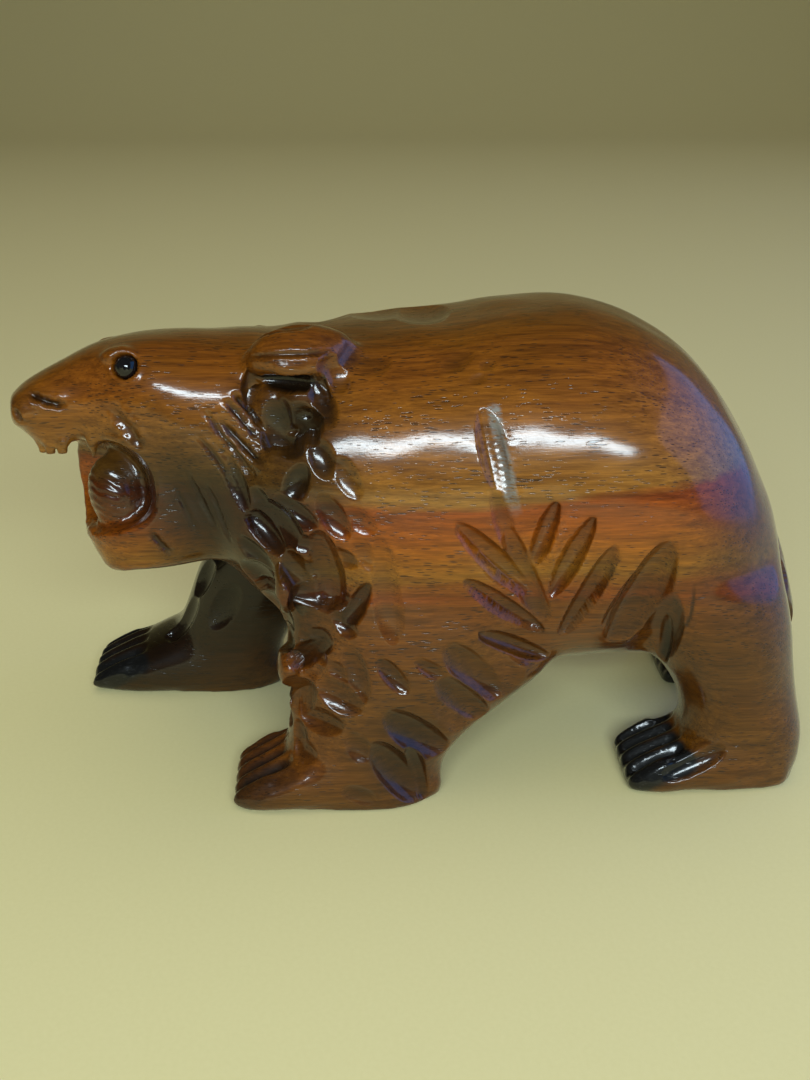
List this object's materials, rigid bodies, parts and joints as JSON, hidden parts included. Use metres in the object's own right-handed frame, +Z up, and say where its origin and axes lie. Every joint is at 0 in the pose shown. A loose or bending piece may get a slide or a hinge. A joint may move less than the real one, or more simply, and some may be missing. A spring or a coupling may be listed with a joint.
{
  "type": "carved wooden bear figurine",
  "caption": "Walking bear carved from one block of lacquered wood, head turned and mouth open, with black glass bead eyes set in drilled sockets.",
  "frame": {"origin": "on the surface that the bear stands on, under the middle of its bounding box", "axes": "+Z up, -Y ahead of the bear, so its nose is at the low end of Y and its tail at the high end, and +X to the bear's left"},
  "size_m": [0.0933, 0.211, 0.1224],
  "materials": {
    "lacquered_wood": "reddish-brown open-pored wood with darker bands, under a high-gloss clear lacquer; claws stained black",
    "black_glass": "solid black glass bead, polished",
    "steel_wire": "plain drawn steel wire"
  },
  "bodies": {
    "root": {"carved_body": "lacquered_wood", "eye_bead_left": "black_glass", "eye_bead_right": "black_glass", "eye_wire_left": "steel_wire", "eye_wire_right": "steel_wire"}
  },
  "joints": []
}
